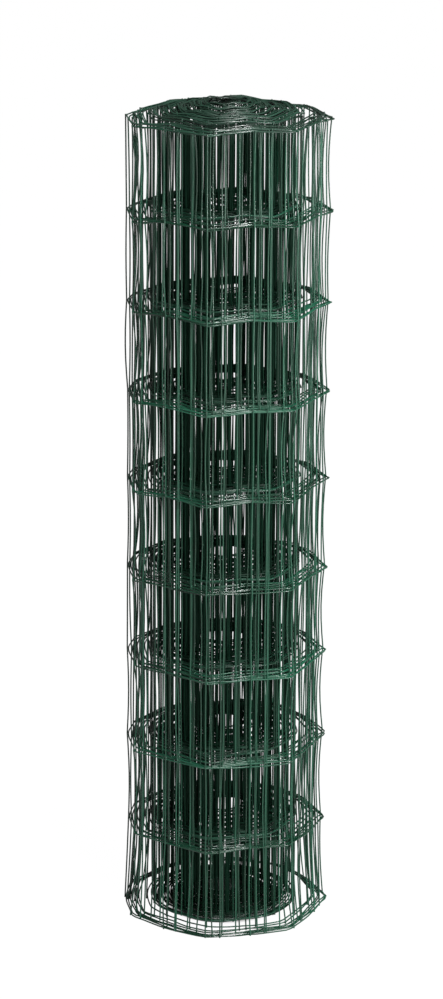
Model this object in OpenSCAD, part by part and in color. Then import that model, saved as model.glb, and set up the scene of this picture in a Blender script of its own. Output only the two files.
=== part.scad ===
// Roll of welded wire fencing, standing on its end.
// The wound mesh is one turned solid with its bore. It is turned in two halves about two centres,
// half a turn's thickness apart, so that its turns run as one spiral from the mesh's free end
// to the bore. They show as round ridges on both ends and step up towards the bore, because
// the inner turns have slipped upwards. The outer turn stands proud of the winding: line wires
// run round it and upright stay wires cross them on the outside.

/* [Wire] */
// Diameter of the coated wire
wire_d = 2.2; // [1.8:0.1:2.8]
// Depth to which two crossing wires sink into each other at a weld
weld_sink = 0.3; // [0.1:0.05:0.5]

/* [Mesh] */
// Number of line wires, which run along the mesh
line_wires = 10; // [5:1:16]
// Distance between neighbouring line wires
line_spacing = 100; // [50:1:150]
// Distance between neighbouring stay wires along the mesh
stay_spacing = 50; // [40:1:100]
// Length of a stay wire past the centre of the edge line wire
stay_overhang = 3; // [2:0.1:10]
// Length of a line wire past the centre of the last stay wire
line_overhang = 12; // [5:1:20]
// Length of the mesh that is wound on the roll
mesh_length = 10000; // [6000:100:12000]

/* [Roll] */
// Diameter over the stay wires of the outer turn
roll_d = 218; // [190:1:260]
// Diameter of the bore through the middle of the roll
bore_d = 60; // [40:1:90]
// Height of the innermost turn above the outermost turn
telescope = 20; // [5:1:40]
// Direction in which the mesh's free end lies, seen from above
free_end_angle = 98; // [0:1:359]

/* [Hidden] */
$fn = 48;

wire_r = wire_d / 2;
bore_r = bore_d / 2;

// Centres of the outer turn's wires at the free end
stay_r = roll_d / 2 - wire_r;
line_r = stay_r - wire_d + weld_sink;

// Turns from the free end to the bore, with a wire radius of wall inside the last of them
inner_r = bore_r + wire_d;
turns = round(mesh_length / (PI * (line_r + inner_r)));
turn_pitch = (line_r - inner_r) / (turns - 1);
half_pitch = turn_pitch / 2;

// Heights of the edge line wires on the outer turn, which stands on its stay wires
low_edge_z = stay_overhang;
line_span = (line_wires - 1) * line_spacing;
high_edge_z = low_edge_z + line_span;
stay_length = line_span + 2 * stay_overhang;

// Angles that a stay spacing and a line wire's free end take up on each half of the outer turn
far_stay_r = stay_r - half_pitch;
near_step = stay_spacing / stay_r * 180 / PI;
far_step = stay_spacing / far_stay_r * 180 / PI;
end_step = line_overhang / stay_r * 180 / PI;

// Stay wires on the half that starts at the free end, then on the half that runs in under it
near_stays = floor(180 / near_step) + 1;
far_start = (near_stays * near_step - 180) * far_step / near_step;
far_stays = floor((180 - 2 * end_step - far_start) / far_step) + 1;

// Height to which the ends have risen at radius r
function rise(r) = telescope * (line_r - r) / (line_r - inner_r);

// Puts what is drawn for a half turn on the half that starts at the free end
module near_half() {
    rotate([0, 0, free_end_angle]) children();
}

// Puts it on the other half, which turns about its own centre and closes on the next turn in
module far_half() {
    rotate([0, 0, free_end_angle + 180]) translate([half_pitch, 0, 0]) children();
}

// Section of one half of the winding, out to the outer turn's line wires, with a ridge for each turn
module winding_section(outer_r, ridges) {
    core_r = bore_r - turn_pitch;
    polygon([
        [core_r, low_edge_z + rise(core_r)],
        [outer_r, low_edge_z + rise(outer_r)],
        [outer_r, high_edge_z + rise(outer_r)],
        [core_r, high_edge_z + rise(core_r)]
    ]);
    for (edge = [low_edge_z, high_edge_z], turn = [1 : ridges]) {
        r = outer_r - turn * turn_pitch;
        translate([r, edge + rise(r)]) circle(r = wire_r);
    }
}

// Winding with the bore through it
module winding() {
    difference() {
        union() {
            near_half() rotate_extrude(angle = 180) winding_section(line_r, turns - 1);
            far_half() rotate_extrude(angle = 180) winding_section(line_r - half_pitch, turns - 2);
        }
        translate([0, 0, -1]) cylinder(r = bore_r, h = stay_length + telescope * 2);
    }
}

// Line wires of the outer turn, which reach past the last stay wire at the free end
module outer_line_wires() {
    for (line = [0 : line_wires - 1]) {
        z = low_edge_z + line * line_spacing;
        near_half() translate([0, 0, z]) rotate([0, 0, -end_step])
            rotate_extrude(angle = 180 + end_step) translate([line_r, 0]) circle(r = wire_r);
        far_half() translate([0, 0, z])
            rotate_extrude(angle = 180) translate([line_r - half_pitch, 0]) circle(r = wire_r);
    }
}

// Stay wires of the outer turn, counted from the free end
module outer_stay_wires() {
    near_half() for (stay = [0 : near_stays - 1])
        rotate([0, 0, stay * near_step])
            translate([stay_r, 0, 0]) cylinder(r = wire_r, h = stay_length);
    far_half() for (stay = [0 : far_stays - 1])
        rotate([0, 0, far_start + stay * far_step])
            translate([far_stay_r, 0, 0]) cylinder(r = wire_r, h = stay_length);
}

// The wound mesh, welded at every crossing
module mesh_roll() {
    color("darkgreen") {
        winding();
        outer_line_wires();
        outer_stay_wires();
    }
}

mesh_roll();
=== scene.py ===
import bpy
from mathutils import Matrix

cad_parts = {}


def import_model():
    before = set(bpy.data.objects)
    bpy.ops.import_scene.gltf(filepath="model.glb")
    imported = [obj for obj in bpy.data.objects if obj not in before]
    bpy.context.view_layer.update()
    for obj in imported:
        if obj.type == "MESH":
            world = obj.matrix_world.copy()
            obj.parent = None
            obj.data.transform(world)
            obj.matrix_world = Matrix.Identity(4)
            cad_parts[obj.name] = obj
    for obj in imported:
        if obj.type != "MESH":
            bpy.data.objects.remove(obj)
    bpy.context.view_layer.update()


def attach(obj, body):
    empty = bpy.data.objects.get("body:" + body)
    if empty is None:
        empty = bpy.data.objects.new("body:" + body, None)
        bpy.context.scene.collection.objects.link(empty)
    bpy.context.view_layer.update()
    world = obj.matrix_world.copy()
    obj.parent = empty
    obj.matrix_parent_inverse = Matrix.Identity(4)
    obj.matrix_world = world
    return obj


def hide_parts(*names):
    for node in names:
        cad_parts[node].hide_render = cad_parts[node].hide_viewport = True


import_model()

import math
import bpy
import mathutils
import numpy as np

# A roll of welded wire fencing. The mesh is modelled flat, as it leaves the welding machine, and is
# then wound up: a point of the flat mesh lies at x along the mesh, y off its face and z up.
# All lengths are in metres.
MM = 0.001

# The wire and the mesh
WIRE_R = 0.8 * MM
LINE_WIRES = 10
LINE_SPACING = 100 * MM
STAYS = 319
STAY_SPACING = 50 * MM
STAY_OVERHANG = 1.0 * MM
LINE_OVERHANG = 12 * MM
WELD_SINK = 0.25 * MM
BEAD_RADII = (1.4 * MM, 1.2 * MM, 1.2 * MM)
STAY_OFF = 2 * WIRE_R - WELD_SINK
MESH_HEIGHT = (LINE_WIRES - 1) * LINE_SPACING
MESH_LENGTH = (STAYS - 1) * STAY_SPACING + 2 * LINE_OVERHANG
COUNT = round(MESH_LENGTH / MM) + 1
ALONG = np.arange(COUNT) * MM
STAY_ALONG = LINE_OVERHANG + np.arange(STAYS) * STAY_SPACING

# The winding, from the free end at the back of the roll in to the bore: turns bunched at the outside,
# a few that stray in the gap and a tight core, whose innermost turns stand up as a coil
OUTER_R = 108.175 * MM
BUNCH_TURNS = 5.2
BUNCH_PITCH = 2.115 * MM
LOOSE_TURNS = 7.398
STRAY_PITCH = 3.435 * MM
LOOSE_SHIFT = (0.284 * MM, -0.008 * MM)
STEP_TURNS = 0.35
CORE_GAP = 5.643 * MM
CORE_PITCH = 1.852 * MM
CORE_SHIFT = (-0.5 * MM, -1.307 * MM)
CORE_SLIP = 4.07 * MM
COIL_R = 38 * MM
LEAST_R = 5 * MM
WAY_ROUND = -1

# Heights above the outermost turn, the push outwards at the lower end, and the lean of the roll
BUNCH_RISE = 3 * MM
LOOSE_RISE = 5 * MM
CORE_RISE = 6 * MM
COIL_RISE = 12 * MM
COIL_STEP = 2 * MM
TELESCOPE = 18 * MM
FLARE = 4 * MM
LOW_BUNCH = 0.5 * MM
LEAN = 4 * MM

# Folds: seven in every turn, one of them at a stay just left of the front. The one that makes the tip
# at the right is sharper in the first three turns
CORNERS = 7
CORNER_STAY = 8
CORNER_AT = 259.3
CORNER_SHIFT = 2 * MM
SHARP_CORNERS = slice(2, 2 * CORNERS + 3, CORNERS)
SHARPER = 1.6
LOOSE_FOLD = 6 * MM
CORE_FOLD = 1.2 * MM
FOLD_WIDTH = 15 * MM
FOLD_EASE = 2.5 * MM
FOLD_REACH = 90 * MM
FOLD_MEAN = 0.35
FOLD_DIP = 2.2 * MM

# How far the wires stray at random
SEED = 43663
KINK = 0.8 * MM
BOW = 0.8 * MM
SWAY = 0.7 * MM
RIPPLE = 1.1 * MM
FOLD_TO_BOW = 0.54

# The fineness of the shapes
SIDES = 8
LINE_STEP = 5 * MM
STAY_STEP = LINE_SPACING / 6
STAY_PIECES = 5
MERGE = 0.01 * MM
TURN_STEP = 0.01
MOST_TURNS = 70

# The photograph's camera, with its focal length in pixels of the picture
CAMERA_AT = (-0.0035, -3.324, 1.464)
CAMERA_DOWN = 16.55
FOCAL_PIXELS = 3144
PICTURE_HEIGHT = 999
SENSOR = 36


def soft_step(share):
    """Eases a share of 0 to 1 in and out"""
    return share * share * (3 - 2 * share)


def spiral():
    """Turns made and radius reached at each millimetre of mesh"""
    turn = np.arange(0, MOST_TURNS, TURN_STEP)
    radius = OUTER_R - BUNCH_PITCH * np.minimum(turn, BUNCH_TURNS)
    radius -= STRAY_PITCH * np.clip(turn - BUNCH_TURNS, 0, LOOSE_TURNS - BUNCH_TURNS)
    radius -= CORE_GAP * soft_step(np.clip((turn - LOOSE_TURNS) / STEP_TURNS, 0, 1))
    radius = np.maximum(radius - CORE_PITCH * np.maximum(turn - LOOSE_TURNS, 0), LEAST_R)
    length = np.concatenate([[0], np.cumsum(math.pi * (radius[1:] + radius[:-1]) * TURN_STEP)])
    return np.interp(ALONG, length, turn), np.interp(ALONG, length, radius)


def between_stays(values):
    """Spreads values given at the stays smoothly over the mesh"""
    where = np.clip((ALONG - LINE_OVERHANG) / STAY_SPACING, 0, STAYS - 1.001)
    stay = where.astype(int)
    part = soft_step(where - stay)
    return values[..., stay] * (1 - part) + values[..., stay + 1] * part


def folds(rng, turn, corner_turn):
    """How sharply the mesh is folded at each place, with 1 at the tip of a common corner"""
    shifts = rng.normal(0, CORNER_SHIFT, 600)
    sizes = rng.uniform(0.8, 1.2, 600)
    sizes[SHARP_CORNERS] *= SHARPER
    corner_turns = np.arange(corner_turn % (1 / CORNERS), turn[-1], 1 / CORNERS)
    fold = np.zeros(COUNT)
    for place, size in zip(np.interp(corner_turns, turn, ALONG) + shifts[:len(corner_turns)], sizes):
        first = max(round((place - FOLD_REACH) / MM), 0)
        near = slice(first, first + round(2 * FOLD_REACH / MM))
        fold[near] += size * np.exp((FOLD_EASE - np.hypot(ALONG[near] - place, FOLD_EASE)) / FOLD_WIDTH)
    return fold


def rises(rng, turn, radius, loose):
    """How far each turn has slipped up above the outermost one"""
    coil = np.interp(-COIL_R, -radius, turn)
    turns = [0.5, BUNCH_TURNS, LOOSE_TURNS, LOOSE_TURNS + 0.5, coil - 0.5, coil + 0.5, turn[-1]]
    heights = [0, BUNCH_RISE, LOOSE_RISE, CORE_RISE, COIL_RISE, COIL_RISE + COIL_STEP, TELESCOPE]
    uneven = np.interp(turn, np.arange(200) * 0.3, rng.normal(0, 1, 200)) * (1.5 - loose) * MM
    return np.maximum(np.interp(turn, turns, heights) + uneven, 0)


def waves(rng, turn, corner_turn, loose):
    """How far each line wire strays up or down, in waves that dip at the corners"""
    from_corner = np.abs((CORNERS * (turn - corner_turn) + 0.5) % 1 - 0.5)
    wave = between_stays(1 + 0.4 * rng.normal(0, 1, STAYS)) * (3.4 * from_corner - 1)
    ripple = between_stays(rng.normal(0, RIPPLE, (LINE_WIRES, STAYS)))
    dips = FOLD_DIP * (0.7 + 0.06 * np.arange(LINE_WIRES))
    upward = (wave * dips[:, None] + ripple) * (0.7 + 0.3 * loose)
    upward[0] = np.maximum(upward[0], WIRE_R - STAY_OVERHANG)
    return upward


def wind():
    """The plan of the roll for each millimetre of mesh, and how far the wires stray from it"""
    rng = np.random.default_rng(SEED)
    stray = rng.normal(0, 1, STAYS)
    kinks = rng.normal(0, 1, (LINE_WIRES, STAYS))
    bow = rng.normal(0, BOW, (LINE_WIRES - 1, STAYS))
    sway = rng.normal(0, SWAY, (LINE_WIRES - 1, STAYS))

    turn, even_radius = spiral()
    loose = np.clip(LOOSE_TURNS + 0.8 - turn, 0, 1)
    slack = 0.25 + 0.75 * loose
    corner_turn = np.interp(STAY_ALONG[CORNER_STAY], ALONG, turn)
    fold = folds(rng, turn, corner_turn)
    slip = np.interp(turn, np.arange(100) * 0.5, rng.normal(0, 1, 100))
    out = CORE_FOLD + (LOOSE_FOLD - CORE_FOLD) * loose
    radius = even_radius + out * (fold - FOLD_MEAN) + between_stays(stray) * (0.3 + 0.4 * loose) * MM

    core = np.clip((turn - LOOSE_TURNS) / STEP_TURNS, 0, 1)
    angle = math.radians(CORNER_AT) + WAY_ROUND * 2 * math.pi * (turn - corner_turn)
    angle += core * CORE_SLIP * slip / radius
    place = np.stack([radius * np.cos(angle), radius * np.sin(angle)], 1)
    place += np.outer(np.minimum(turn, LOOSE_TURNS) * (1 - core), LOOSE_SHIFT) + np.outer(core, CORE_SHIFT)
    tangent = np.gradient(place, axis=0)
    tangent /= np.linalg.norm(tangent, axis=1)[:, None]
    normal = np.stack([tangent[:, 1], -tangent[:, 0]], 1) * WAY_ROUND

    rise = rises(rng, turn, even_radius, loose)
    upward = waves(rng, turn, corner_turn, loose)
    outward = between_stays(kinks) * KINK * slack
    outward[0] += (FLARE + LOW_BUNCH * np.minimum(turn, LOOSE_TURNS)) * loose
    return dict(
        depth=turn / turn[-1], fold=fold * out, slack=slack, place=place, normal=normal, rise=rise,
        outward=outward, upward=upward, bow=bow, sway=sway, tone=rng.uniform(0, 1, STAYS),
    )


roll = wind()


def at(values, along):
    """A value of the winding at places along the mesh"""
    where = np.clip(along / MM, 0, COUNT - 1.001)
    low = where.astype(int)
    part = where - low
    if values.ndim == 2:
        part = part[:, None]
    return values[low] * (1 - part) + values[low + 1] * part


def start(add, **sizes):
    """Adds a primitive with nothing else selected, and puts its place into its mesh"""
    bpy.ops.object.select_all(action="DESELECT")
    add(**sizes)
    bpy.ops.object.transform_apply(location=True, rotation=True, scale=True)
    return bpy.context.object


def open_wire(length, **place):
    """A short length of wire with open ends"""
    return start(bpy.ops.mesh.primitive_cylinder_add, vertices=SIDES, radius=WIRE_R, depth=length,
                 end_fill_type="NOTHING", **place)


def repeat(piece, count, step, merge=False):
    """Repeats a piece along a step with an applied array"""
    array = piece.modifiers.new("repeat", "ARRAY")
    array.count = count
    array.use_relative_offset = False
    array.use_constant_offset = True
    array.constant_offset_displace = step
    array.use_merge_vertices = merge
    array.merge_threshold = MERGE
    bpy.ops.object.modifier_apply(modifier=array.name)


def close_ends():
    """Closes the open ends of the wire that was just made"""
    bpy.ops.object.mode_set(mode="EDIT")
    bpy.ops.mesh.select_all(action="DESELECT")
    bpy.ops.mesh.select_non_manifold()
    bpy.ops.mesh.fill_holes(sides=SIDES)
    bpy.ops.mesh.select_all(action="SELECT")
    bpy.ops.mesh.normals_make_consistent(inside=False)
    bpy.ops.object.mode_set(mode="OBJECT")


def pick(piece):
    """Makes a piece active and alone selected"""
    bpy.ops.object.select_all(action="DESELECT")
    piece.select_set(True)
    bpy.context.view_layer.objects.active = piece


def points_of(piece):
    """The vertices of a piece as rows of x, y, z"""
    flat = np.empty(len(piece.data.vertices) * 3)
    piece.data.vertices.foreach_get("co", flat)
    return flat.reshape(-1, 3)


def note(piece, name, values):
    """Keeps a value for each vertex, for the materials to read"""
    layer = piece.data.attributes.new(name, "FLOAT", "POINT")
    layer.data.foreach_set("value", np.ascontiguousarray(values, dtype=np.float32))


def settle(piece, plan, z, depth, tone):
    """Moves a flat piece's points to their places on the leaning roll, and notes what its material reads"""
    plan[:, 0] += LEAN * (z / MESH_HEIGHT - 0.5)
    piece.data.vertices.foreach_set("co", np.column_stack([plan, z]).ravel())
    piece.data.update()
    note(piece, "depth", depth)
    note(piece, "tone", tone)


def finish_piece(piece, name, material):
    """Names a piece, gives it its material and says what it stands for"""
    piece.name = name
    piece.data.name = name
    piece.data.materials.clear()
    piece.data.materials.append(material)
    pick(piece)
    bpy.ops.object.shade_smooth_by_angle(angle=math.radians(50))
    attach(piece, "root")
    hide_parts("mesh_roll")


class Sock:
    """A socket of a material's nodes that takes part in Python's arithmetic"""

    def __init__(self, tree, out):
        self.tree = tree
        self.out = out

    def add(self, kind, settings=None, sockets=None, out=0):
        """Adds any node: its settings are set first, then its sockets get values or links"""
        node = self.tree.nodes.new(kind)
        for name, value in (settings or {}).items():
            if name == "stops":
                stops = node.color_ramp.elements
                while len(stops) < len(value):
                    stops.new(0.5)
                for stop, (place, colour) in zip(stops, value):
                    stop.position = place
                    stop.color = colour
            else:
                setattr(node, name, value)
        for name, value in (sockets or {}).items():
            if isinstance(value, Sock):
                self.tree.links.new(value.out, node.inputs[name])
            else:
                node.inputs[name].default_value = value
        return Sock(self.tree, node.outputs[out])

    def maths(self, operation, first, second):
        return self.add("ShaderNodeMath", {"operation": operation}, {0: first, 1: second})

    def __add__(self, other):
        return self.maths("ADD", self, other)

    def __radd__(self, other):
        return self.maths("ADD", other, self)

    def __rsub__(self, other):
        return self.maths("SUBTRACT", other, self)

    def __mul__(self, other):
        return self.maths("MULTIPLY", self, other)


def new_material(name):
    """A material with its shader, and the Object coordinates to start its expressions from"""
    material = bpy.data.materials.new(name)
    material.use_nodes = True
    tree = material.node_tree
    coords = tree.nodes.new("ShaderNodeTexCoord")
    return material, tree.nodes["Principled BSDF"], Sock(tree, coords.outputs["Object"])


def noise(place, scale, detail):
    return place.add("ShaderNodeTexNoise", None, {"Vector": place, "Scale": scale, "Detail": detail})


def ramp(value, low, high, start_at=0.0, end_at=1.0, shape="LINEAR"):
    """Takes a value's range from low to high to another range"""
    return value.add("ShaderNodeMapRange", {"interpolation_type": shape}, {
        "Value": value, "From Min": low, "From Max": high, "To Min": start_at, "To Max": end_at,
    })


def blend(share, colour, other):
    """Mixes a share of another colour into a colour"""
    return share.add("ShaderNodeMix", {"data_type": "RGBA"}, {0: share, 6: colour, 7: other}, out=2)


def coated_wire():
    """Dark green plastic coat: even tone along a wire, small scuffs and dust patches, with painted shade
    towards the core of the roll and painted shading that makes the upper end greyer and darker
    """
    material, shader, place = new_material("coated_wire")
    tree = material.node_tree
    depth = place.add("ShaderNodeAttribute", {"attribute_name": "depth"}, out="Fac")
    tone = place.add("ShaderNodeAttribute", {"attribute_name": "tone"}, out="Fac")
    height = place.add("ShaderNodeSeparateXYZ", None, {0: place}, out="Z")
    cloud = noise(place, 14.0, 4.0)
    grain = noise(place, 900.0, 2.0)
    scuffs = noise(place, 160.0, 3.0)
    worn = ramp(scuffs, 0.62, 0.74)
    dusty = ramp(cloud + depth * 0.35, 0.66, 0.9, 0.0, 0.6)
    # Painted shading of the upper end: 1 below it and 0.3 at it
    under = ramp(height, 0.88, 0.905, 1.0, 0.3)
    # Painted shade: the coat gets darker towards the core of the roll, where less light reaches, and this
    # is cut back at the upper end
    core_shade = under * ramp(depth, 0.14, 0.32)

    green = place.add("ShaderNodeValToRGB", {"stops": [
        (0.25, (0.002, 0.030, 0.014, 1)),
        (0.5, (0.003, 0.050, 0.025, 1)),
        (0.8, (0.004, 0.080, 0.041, 1)),
    ]}, {"Fac": cloud * 0.4 + tone * 0.6})
    rubbed = blend(worn * 0.35, green, (0.06, 0.13, 0.09, 1))
    # Painted shade: a near-black green mixed in towards the core
    shaded_core_colour = blend(core_shade * 0.8, rubbed, (0.001, 0.011, 0.005, 1))
    # Dust patches, and painted shading that turns the upper end greyer and darker
    dust_and_top_shading = blend(dusty * 0.5 + (1.0 - under) * 0.7, shaded_core_colour, (0.010, 0.017, 0.013, 1))
    rough = 0.2 + tone * 0.14 + grain * 0.1 + worn * 0.12 + dusty * 0.2 + core_shade * 0.3
    bump = place.add("ShaderNodeBump", None, {
        "Height": grain * 0.6 + scuffs * 0.4, "Strength": 0.12, "Distance": 0.4 * MM,
    })
    tree.links.new(dust_and_top_shading.out, shader.inputs["Base Color"])
    tree.links.new(rough.out, shader.inputs["Roughness"])
    tree.links.new(bump.out, shader.inputs["Normal"])
    shader.inputs["Specular IOR Level"].default_value = 0.6

    # Towards the core the coat also turns matt, so the painted shade there shows no highlights
    matt = place.add("ShaderNodeBsdfPrincipled", None, {
        "Base Color": dust_and_top_shading, "Roughness": 0.8, "Specular IOR Level": 0.08,
    })
    coat = place.add("ShaderNodeMixShader", None, {
        0: core_shade * 0.9, 1: Sock(tree, shader.outputs[0]), 2: matt,
    })
    tree.links.new(coat.out, tree.nodes["Material Output"].inputs["Surface"])
    return material


def flat_line_wire():
    """A straight line wire as long as the mesh"""
    wire = open_wire(LINE_STEP, location=(LINE_STEP / 2, 0, 0), rotation=(0, math.pi / 2, 0))
    repeat(wire, int(MESH_LENGTH / LINE_STEP), (LINE_STEP, 0, 0), merge=True)
    close_ends()
    return wire


def copy_of(piece):
    """A copy with its own mesh"""
    pick(piece)
    bpy.ops.object.duplicate()
    return bpy.context.object


def wind_line_wire(wire, line):
    """Winds a flat line wire up at its height"""
    rows = points_of(wire)
    along = rows[:, 0]
    off = rows[:, 1] + at(roll["outward"][line], along)
    plan = at(roll["place"], along) + at(roll["normal"], along) * off[:, None]
    up = STAY_OVERHANG + line * LINE_SPACING + at(roll["rise"], along) + at(roll["upward"][line], along)
    tone = 0.4 + 0.4 * np.sin(along * 9.7 + line * 1.7)
    # Line wires take only 0.7 of the depth, so they get less of the painted core shade than the stays
    settle(wire, plan, rows[:, 2] + up, at(roll["depth"], along) * 0.7, tone)


def flat_stays(first, count):
    """Straight stay wires, side by side as on the flat mesh"""
    wire = open_wire(STAY_STEP, location=(0, 0, STAY_STEP / 2))
    repeat(wire, round(MESH_HEIGHT / STAY_STEP), (0, 0, STAY_STEP), merge=True)
    for edge_z, way in ((0, -1), (MESH_HEIGHT, 1)):
        bpy.ops.object.mode_set(mode="EDIT")
        bpy.ops.mesh.select_all(action="DESELECT")
        bpy.ops.object.mode_set(mode="OBJECT")
        for vertex in wire.data.vertices:
            vertex.select = abs(vertex.co.z - edge_z) < 0.1 * MM
        bpy.ops.object.mode_set(mode="EDIT")
        bpy.ops.mesh.extrude_region_move(TRANSFORM_OT_translate={"value": (0, 0, way * STAY_OVERHANG)})
        bpy.ops.object.mode_set(mode="OBJECT")
    close_ends()
    wire.data.transform(mathutils.Matrix.Translation((STAY_ALONG[first], 0, 0)))
    repeat(wire, count, (STAY_SPACING, 0, 0))
    return wire


def stays_of(rows):
    """For each point its stay, that stay's place along the mesh, and which millimetre of it that is"""
    stay = np.round((rows[:, 0] - LINE_OVERHANG) / STAY_SPACING).astype(int)
    along = STAY_ALONG[stay]
    return stay, along, np.clip(along / MM, 0, COUNT - 1).astype(int)


def plan_at(along, off, aside):
    """The plan of points at a place of the mesh, so far off its face and so far to the side"""
    normal = at(roll["normal"], along)
    tangent = np.stack([-normal[:, 1], normal[:, 0]], 1)
    return at(roll["place"], along) + normal * off[:, None] + tangent * aside[:, None]


def wind_stays(piece):
    """Winds flat stay wires up, bowed a little between the line wires that they are welded to"""
    rows = points_of(piece)
    stay, along, where = stays_of(rows)
    cell = np.clip(np.floor(rows[:, 2] / LINE_SPACING + 1e-6).astype(int), 0, LINE_WIRES - 2)
    part = np.clip(rows[:, 2] / LINE_SPACING - cell, -0.05, 1.05)
    inside = np.clip(part, 0, 1)
    swell = np.sin(math.pi * inside)
    outward = roll["outward"]
    bow = roll["bow"][cell, stay] - FOLD_TO_BOW * at(roll["fold"], along)
    off = rows[:, 1] + STAY_OFF + outward[cell, where] * (1 - part) + outward[cell + 1, where] * part
    off += bow * swell * at(roll["slack"], along)
    plan = plan_at(along, off, rows[:, 0] - along + roll["sway"][cell, stay] * swell)
    upward = roll["upward"]
    up = upward[cell, where] * (1 - inside) + upward[cell + 1, where] * inside
    z = rows[:, 2] + STAY_OVERHANG + at(roll["rise"], along) + up
    settle(piece, plan, z, at(roll["depth"], along), roll["tone"][stay])


def flat_welds():
    """The coat's bead over a weld, copied to every crossing of the flat mesh"""
    bead = start(bpy.ops.mesh.primitive_uv_sphere_add, segments=6, ring_count=4, radius=1,
                 location=(LINE_OVERHANG, STAY_OFF / 2, 0), rotation=(math.pi / 2, 0, 0), scale=BEAD_RADII)
    repeat(bead, STAYS, (STAY_SPACING, 0, 0))
    repeat(bead, LINE_WIRES, (0, 0, LINE_SPACING))
    return bead


def wind_welds(piece):
    """Takes the flat beads to the wound crossings, none of them below the floor"""
    rows = points_of(piece)
    stay, along, where = stays_of(rows)
    line = np.round(rows[:, 2] / LINE_SPACING).astype(int)
    plan = plan_at(along, rows[:, 1] + roll["outward"][line, where], rows[:, 0] - along)
    z = rows[:, 2] + STAY_OVERHANG + at(roll["rise"], along) + roll["upward"][line, where]
    settle(piece, plan, np.maximum(z, 0), at(roll["depth"], along), roll["tone"][stay])


def make_roll():
    """All the pieces of the wound mesh"""
    coat = coated_wire()
    pattern = flat_line_wire()
    for line in range(LINE_WIRES):
        wire = copy_of(pattern)
        wind_line_wire(wire, line)
        finish_piece(wire, f"line_wire_{line + 1:02d}", coat)
    bpy.data.objects.remove(pattern)

    done = 0
    for part in range(STAY_PIECES):
        count = (STAYS - done) // (STAY_PIECES - part)
        stays = flat_stays(done, count)
        wind_stays(stays)
        finish_piece(stays, f"stay_wires_{part + 1}", coat)
        done += count

    welds = flat_welds()
    wind_welds(welds)
    finish_piece(welds, "weld_beads", coat)


def seen_white(tree):
    """1 for the camera and for what is seen through things, and a little for reflections"""
    path = tree.nodes.new("ShaderNodeLightPath")
    camera, gloss, through = (
        Sock(tree, path.outputs[f"Is {kind} Ray"]) for kind in ("Camera", "Glossy", "Transmission")
    )
    return camera.maths("MINIMUM", camera + gloss * 0.15 + through, 1.0)


def floor():
    """Pale floor that shows white and keeps the shadow under the roll's core"""
    plane = start(bpy.ops.mesh.primitive_plane_add, size=60)
    plane.name = "floor"
    material, shader, place = new_material("pale_floor")
    tree = material.node_tree
    shader.inputs["Base Color"].default_value = (0.5, 0.5, 0.5, 1)
    shader.inputs["Roughness"].default_value = 0.9
    shader.inputs["Specular IOR Level"].default_value = 0.1
    middle = place.add("ShaderNodeVectorMath", {"operation": "LENGTH"}, {0: place}, out="Value")
    clear = ramp(middle, 60 * MM, 73 * MM, shape="SMOOTHSTEP")
    glow = place.add("ShaderNodeEmission", None, {"Color": (1, 1, 1, 1), "Strength": 1.04})
    mixed = place.add("ShaderNodeMixShader", None, {
        0: seen_white(tree) * clear * 0.96, 1: Sock(tree, shader.outputs[0]), 2: glow,
    })
    tree.links.new(mixed.out, tree.nodes["Material Output"].inputs["Surface"])
    plane.data.materials.append(material)


def world():
    """White surroundings for what the camera sees, dim light for the rest"""
    scene = bpy.context.scene
    scene.world = bpy.data.worlds.new("studio")
    scene.world.use_nodes = True
    tree = scene.world.node_tree
    back = tree.nodes["Background"]
    back.inputs["Color"].default_value = (1, 1, 1, 1)
    strength = 0.04 + seen_white(tree) * 0.96
    tree.links.new(strength.out, back.inputs["Strength"])


def lamp(name, place, aim, size, power):
    """A soft lamp that points at a place"""
    bpy.ops.object.light_add(type="AREA", location=place)
    light = bpy.context.object
    light.name = name
    light.data.shape = "RECTANGLE"
    light.data.size, light.data.size_y = size
    light.data.energy = power
    direction = mathutils.Vector(aim) - light.location
    light.rotation_euler = direction.to_track_quat("-Z", "Y").to_euler()


def camera():
    """The camera at the photograph's place and angle"""
    bpy.ops.object.camera_add(location=CAMERA_AT, rotation=(math.radians(90 - CAMERA_DOWN), 0, 0))
    made = bpy.context.object
    made.name = "camera"
    made.data.sensor_width = SENSOR
    made.data.lens = SENSOR * FOCAL_PIXELS / PICTURE_HEIGHT
    bpy.context.scene.camera = made


make_roll()
floor()
world()
lamp("key_light", (2.6, -1.5, 0.8), (0, 0, 0.95), (0.5, 0.8), 115)
lamp("top_light", (0.4, -0.8, 2.9), (0, 0, 0.6), (0.4, 0.4), 100)
lamp("fill_light", (-1.1, -2.6, 0.4), (0, 0, 0.6), (0.4, 0.8), 14)
camera()
bpy.context.scene.view_settings.view_transform = "Standard"
